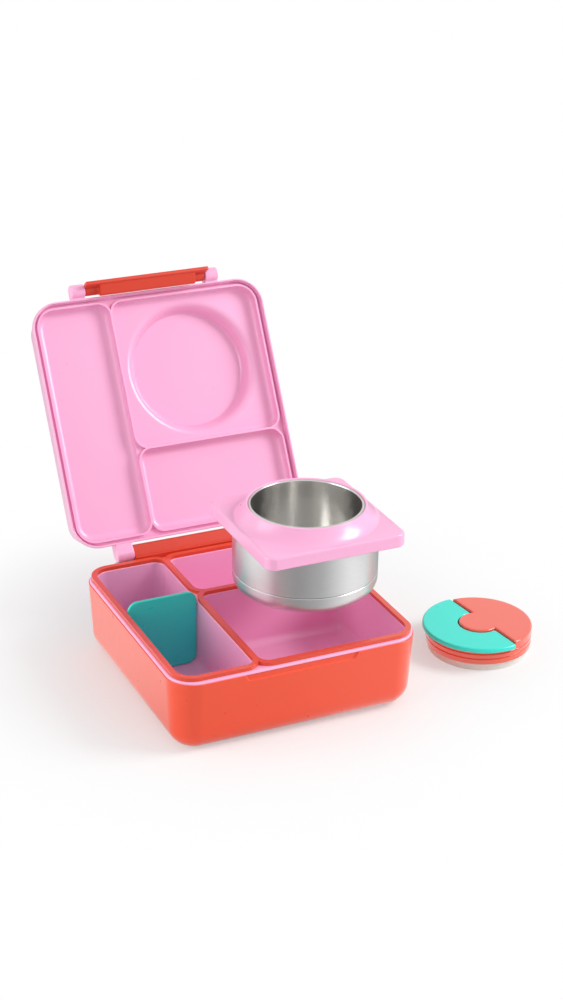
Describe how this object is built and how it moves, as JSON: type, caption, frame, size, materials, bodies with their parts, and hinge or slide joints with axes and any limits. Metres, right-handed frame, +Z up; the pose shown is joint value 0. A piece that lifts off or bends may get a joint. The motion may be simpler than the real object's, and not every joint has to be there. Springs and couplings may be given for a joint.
{
  "type": "hinged bento lunch box",
  "caption": "Square lunch box with a compartment tray, lid hinged open, folded carrying handle, lift-out steel food jar and its lid beside it.",
  "frame": {"origin": "centre of the box's flat underside, on the table", "axes": "+X along the front edge to the right, +Y from the latch side to the hinge side, +Z up; the lid is open and the jar is raised at rest"},
  "size_m": [0.3126, 0.3193, 0.25],
  "materials": {
    "coral_plastic": "satin moulded plastic",
    "pink_plastic": "satin moulded plastic",
    "red_plastic": "satin moulded plastic",
    "teal_plastic": "satin moulded plastic",
    "red_silicone": "soft silicone, slight sheen",
    "beige_silicone": "soft silicone, matte",
    "satin_steel": "satin stainless steel"
  },
  "bodies": {
    "base": {"base_shell": "coral_plastic", "inner_tray": "pink_plastic", "compartment_seal": "red_silicone", "hinge_bar": "red_plastic", "hinge_pin": "satin_steel", "handle_pins": "satin_steel"},
    "lid": {"lid_cover": "pink_plastic", "lid_liner": "pink_plastic", "latch_pins": "satin_steel"},
    "latch": {"latch_plate": "red_plastic"},
    "handle": {"carry_handle": "teal_plastic"},
    "divider": {"divider_plate": "teal_plastic"},
    "jar": {"jar_collar": "pink_plastic", "jar_outer_wall": "satin_steel", "jar_base_cap": "satin_steel", "jar_inner_bowl": "satin_steel"},
    "jar_lid": {"jar_lid_cap": "coral_plastic", "jar_lid_ring": "beige_silicone", "grip_pins": "satin_steel"},
    "grip": {"jar_lid_grip": "teal_plastic"}
  },
  "joints": [
    {"name": "lid_hinge", "type": "hinge", "parent": "base", "child": "lid", "pos_m": [0, 0.1024, 0.0622], "axis": [1, 0, 0], "range_deg": [0, 120]},
    {"name": "latch_pivot", "type": "hinge", "parent": "lid", "child": "latch", "pos_m": [0, 0.20185, 0.23965], "axis": [1, 0, 0], "range_deg": [-80, 8]},
    {"name": "handle_pivot", "type": "hinge", "parent": "base", "child": "handle", "pos_m": [0, 0.1036, 0.0506], "axis": [1, 0, 0], "range_deg": [0, 90]},
    {"name": "divider_lift", "type": "slide", "parent": "base", "child": "divider", "axis": [0, 0, -1], "range_m": [-0.06, 0]},
    {"name": "jar_lift", "type": "slide", "parent": "base", "child": "jar", "axis": [0, 0, -1], "range_m": [0, 0.076]},
    {"name": "jar_lid_lift", "type": "slide", "parent": "base", "child": "jar_lid", "axis": [0, 0, 1], "range_m": [0, 0.06]},
    {"name": "grip_flip", "type": "hinge", "parent": "jar_lid", "child": "grip", "pos_m": [0.17969, -0.03276, 0.0193], "axis": [-0.1132, 0.9936, 0], "range_deg": [0, 88]}
  ],
  "couplings": [
    {"joint": "jar_lift", "follows": "lid_hinge", "m_per_rad": 0.0362}
  ]
}
